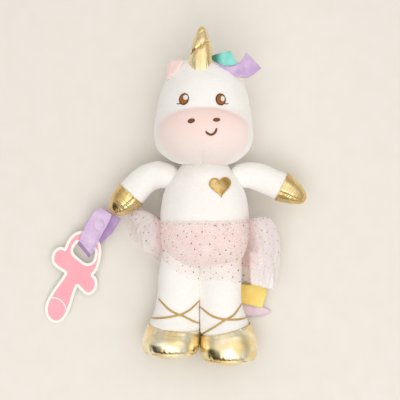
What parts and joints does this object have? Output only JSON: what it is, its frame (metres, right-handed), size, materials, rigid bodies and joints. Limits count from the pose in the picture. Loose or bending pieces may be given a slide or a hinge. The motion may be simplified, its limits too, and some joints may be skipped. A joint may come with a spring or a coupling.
{
  "type": "plush unicorn",
  "caption": "Soft plush unicorn lying on its back, with a tulle tutu, gold foil horn, hooves and bootees, ribbon mane and tail, and a card held in a snap strap on one hoof.",
  "frame": {"origin": "on the toy's back, on the flat it lies on, under the middle of the trunk", "axes": "+Y from feet to horn, +Z out of the chest, +X to the toy's own left arm"},
  "size_m": [0.2344, 0.2948, 0.0825],
  "materials": {
    "white_plush": "short pile plush",
    "pink_plush": "short pile plush",
    "polyester_fill": "loose fibre",
    "gold_foil_cloth": "metallic foil",
    "gold_cord": "metallic thread",
    "white_thread": "satin stitch",
    "brown_thread": "satin stitch",
    "pink_tulle": "sheer net with glitter dots",
    "teal_ribbon": "satin ribbon",
    "lilac_ribbon": "satin ribbon",
    "yellow_ribbon": "satin ribbon",
    "snap_plastic": "gloss",
    "white_card": "matt board",
    "pink_print": "printed board",
    "label_tape": "printed tape, left blank"
  },
  "bodies": {
    "trunk": {"trunk_front_panel": "white_plush", "trunk_back_panel": "white_plush", "trunk_stuffing": "polyester_fill", "chest_heart": "gold_foil_cloth", "tutu_outer_layer": "pink_tulle", "tutu_inner_layer": "pink_tulle"},
    "head": {"head_back_panel": "white_plush", "head_front_panel": "white_plush", "head_stuffing": "polyester_fill", "horn_foil_cover": "gold_foil_cloth", "horn_spiral_thread": "gold_cord", "horn_stuffing": "polyester_fill", "left_ear_lining": "pink_plush", "left_ear_outer": "white_plush", "left_eye": "brown_thread", "left_eye_glint": "white_thread", "left_eyelash": "brown_thread", "left_nostril": "brown_thread", "muzzle_panel": "pink_plush", "right_ear_lining": "pink_plush", "right_ear_outer": "white_plush", "right_eye": "brown_thread", "right_eye_glint": "white_thread", "right_eyelash": "brown_thread", "right_nostril": "brown_thread", "smile": "brown_thread"},
    "mane": {"mane_ribbon_teal": "teal_ribbon", "mane_ribbon_lilac": "lilac_ribbon"},
    "right_arm": {"right_arm_sleeve": "white_plush", "right_hoof": "gold_foil_cloth", "right_arm_stuffing": "polyester_fill"},
    "left_arm": {"left_arm_sleeve": "white_plush", "left_hoof": "gold_foil_cloth", "left_arm_stuffing": "polyester_fill"},
    "seat": {"seat_panel": "white_plush", "seat_stuffing": "polyester_fill"},
    "right_leg": {"right_leg_sleeve": "white_plush", "right_bootee_upper": "gold_foil_cloth", "right_bootee_sole": "gold_foil_cloth", "right_leg_stuffing": "polyester_fill", "right_leg_laces": "gold_cord"},
    "left_leg": {"left_leg_sleeve": "white_plush", "left_bootee_upper": "gold_foil_cloth", "left_bootee_sole": "gold_foil_cloth", "left_leg_stuffing": "polyester_fill", "left_leg_laces": "gold_cord"},
    "strap": {"strap_rear_leaf": "lilac_ribbon", "snap_stud": "snap_plastic"},
    "strap_flap": {"strap_front_leaf": "lilac_ribbon", "snap_socket": "snap_plastic"},
    "card": {"card_board": "white_card", "card_pink_face": "pink_print"},
    "tail": {"tail_ribbon_yellow": "yellow_ribbon", "tail_ribbon_lilac": "lilac_ribbon"},
    "label": {"care_label": "label_tape"}
  },
  "joints": [
    {"name": "neck_nod", "type": "hinge", "parent": "trunk", "child": "head", "pos_m": [0.001, 0.014, 0.028], "axis": [1, 0, 0], "range_deg": [-20, 20], "stiffness_Nm_per_rad": 0.12},
    {"name": "mane_flap", "type": "hinge", "parent": "head", "child": "mane", "pos_m": [0.0125, 0.119, 0.0615], "axis": [0, -1, 0], "range_deg": [0, 70]},
    {"name": "right_shoulder", "type": "hinge", "parent": "trunk", "child": "right_arm", "pos_m": [-0.032, 0.0215, 0.027], "axis": [0, 1, 0], "range_deg": [-20, 50], "stiffness_Nm_per_rad": 0.02},
    {"name": "left_shoulder", "type": "hinge", "parent": "trunk", "child": "left_arm", "pos_m": [0.0335, 0.0215, 0.027], "axis": [0, -1, 0], "range_deg": [-20, 50], "stiffness_Nm_per_rad": 0.02},
    {"name": "hip_fold", "type": "hinge", "parent": "trunk", "child": "seat", "pos_m": [0.001, -0.036, 0.0294], "axis": [-1, 0, 0], "range_deg": [-8, 85], "stiffness_Nm_per_rad": 0.06, "deforming": ["tutu_outer_layer", "tutu_inner_layer"]},
    {"name": "right_leg_swing", "type": "hinge", "parent": "seat", "child": "right_leg", "pos_m": [-0.0208, -0.05, 0.026], "axis": [-1, 0, 0], "range_deg": [-15, 15], "stiffness_Nm_per_rad": 0.06},
    {"name": "left_leg_swing", "type": "hinge", "parent": "seat", "child": "left_leg", "pos_m": [0.0166, -0.05, 0.026], "axis": [-1, 0, 0], "range_deg": [-4, 15], "stiffness_Nm_per_rad": 0.06},
    {"name": "strap_swing", "type": "hinge", "parent": "right_arm", "child": "strap", "pos_m": [-0.08059, -0.01269, 0.01598], "axis": [0.8594, -0.5113, 0], "range_deg": [-30, 60]},
    {"name": "strap_snap_open", "type": "hinge", "parent": "strap", "child": "strap_flap", "pos_m": [-0.10516, -0.04343, 0.00975], "axis": [0.8594, -0.5113, 0], "range_deg": [0, 125]},
    {"name": "card_swing", "type": "hinge", "parent": "strap", "child": "card", "pos_m": [-0.1035, -0.037, 0.0088], "axis": [0.8594, -0.5113, 0], "range_deg": [0, 15]},
    {"name": "tail_flap", "type": "hinge", "parent": "seat", "child": "tail", "pos_m": [0.006, -0.047, 0.0037], "axis": [1, 0, 0], "range_deg": [0, 80]},
    {"name": "label_flap", "type": "hinge", "parent": "trunk", "child": "label", "pos_m": [0.0402, -0.04, 0.0272], "axis": [0, -1, 0], "range_deg": [-60, 60]}
  ]
}
